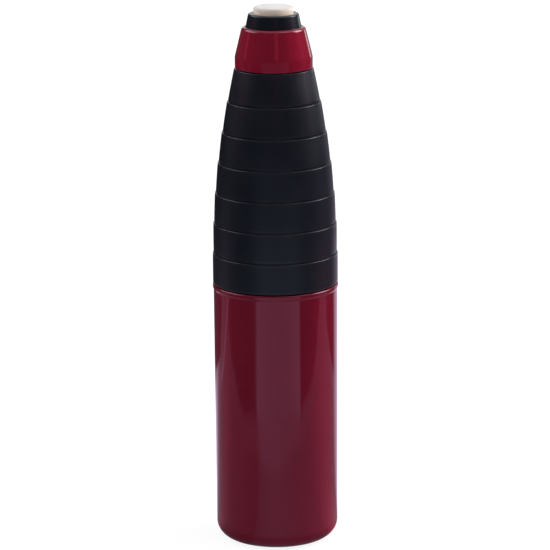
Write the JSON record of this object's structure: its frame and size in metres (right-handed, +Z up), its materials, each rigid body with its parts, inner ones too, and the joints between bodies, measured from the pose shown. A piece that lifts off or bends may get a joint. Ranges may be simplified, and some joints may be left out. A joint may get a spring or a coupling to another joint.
{
  "type": "pencil sharpener with eraser",
  "caption": "Upright pencil sharpener with a shavings container, a ribbed lift-off grip and an eraser that is fed out by turning the collar.",
  "frame": {"origin": "centre of the container's flat base, on the surface it stands on", "axes": "+Z up along the common axis towards the eraser, +Y towards the sharpener's blade"},
  "size_m": [0.02, 0.02, 0.0867],
  "materials": {
    "red_gloss": "high gloss wine red",
    "grip_black": "satin black",
    "tip_black": "satin black",
    "black_plastic": "moulded matte black",
    "natural_plastic": "moulded natural white",
    "silicone": "soft dark grey",
    "eraser_rubber": "matte off-white",
    "cast_alloy": "die-cast, tumbled",
    "blade_steel": "ground steel",
    "plated_steel": "nickel-plated steel"
  },
  "bodies": {
    "container": {"container": "red_gloss", "pencil_guide": "black_plastic", "sharpener_block": "cast_alloy", "blade": "blade_steel", "blade_screw": "plated_steel"},
    "barrel": {"barrel": "black_plastic", "ribbed_grip": "grip_black", "barrel_plug": "black_plastic", "spiral_sleeve": "natural_plastic", "damping_ring": "silicone"},
    "nose": {"nose_collar": "red_gloss", "tip_ring": "tip_black", "guide_tube": "natural_plastic", "retaining_ring": "plated_steel"},
    "eraser": {"eraser_cup": "natural_plastic", "eraser_core": "eraser_rubber"}
  },
  "joints": [
    {"name": "container_pull", "type": "slide", "parent": "container", "child": "barrel", "axis": [0, 0, 1], "range_m": [0, 0.025]},
    {"name": "eraser_twist", "type": "hinge", "parent": "barrel", "child": "nose", "pos_m": [0, 0, 0.077], "axis": [0, 0, 1], "range_deg": [-54, 720]},
    {"name": "eraser_feed", "type": "slide", "parent": "nose", "child": "eraser", "axis": [0, 0, 1], "range_m": [-0.0015, 0.02]}
  ],
  "couplings": [
    {"joint": "eraser_twist", "follows": "eraser_feed", "rad_per_m": 628.32}
  ]
}
